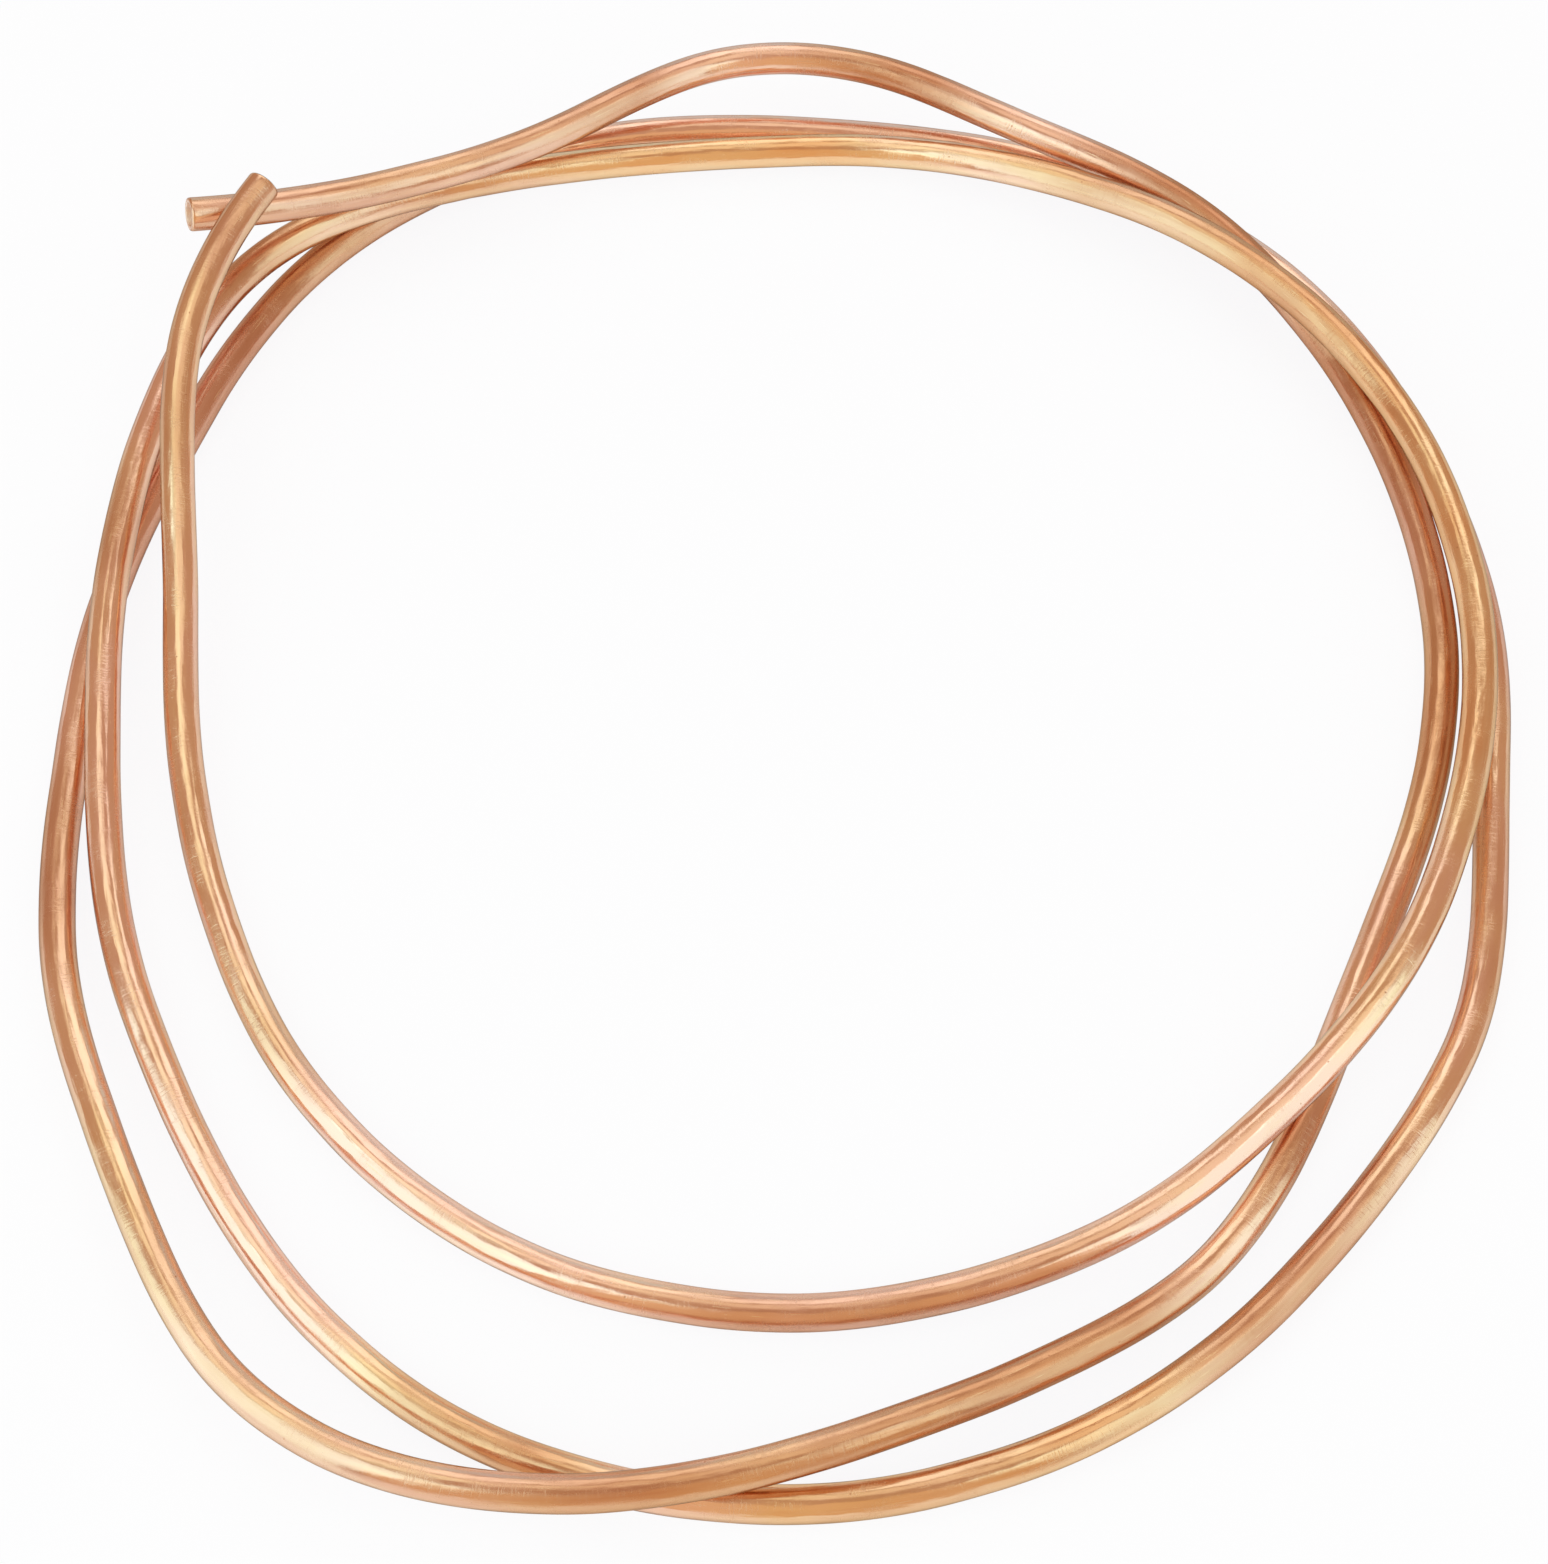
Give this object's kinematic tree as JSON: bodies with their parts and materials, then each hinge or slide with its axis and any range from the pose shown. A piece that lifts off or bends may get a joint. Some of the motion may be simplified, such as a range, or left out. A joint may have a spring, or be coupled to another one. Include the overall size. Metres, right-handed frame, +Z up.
{
  "type": "copper tube coil",
  "caption": "Coil of soft round copper tube in loose overlapping turns, with square-cut open ends, lying flat; supplies water, gas or oil pipe to be cut and bent.",
  "frame": {"origin": "middle of the coil's underside, on the floor it lies on", "axes": "+Z up through the coil's eye, +Y along its longer side towards the two cut ends, +X across it"},
  "size_m": [0.3288, 0.3724, 0.0396],
  "materials": {
    "copper": "bright drawn soft copper with fine lengthwise streaks and light handling marks"
  },
  "bodies": {
    "root": {"copper_tube": "copper"}
  },
  "joints": []
}
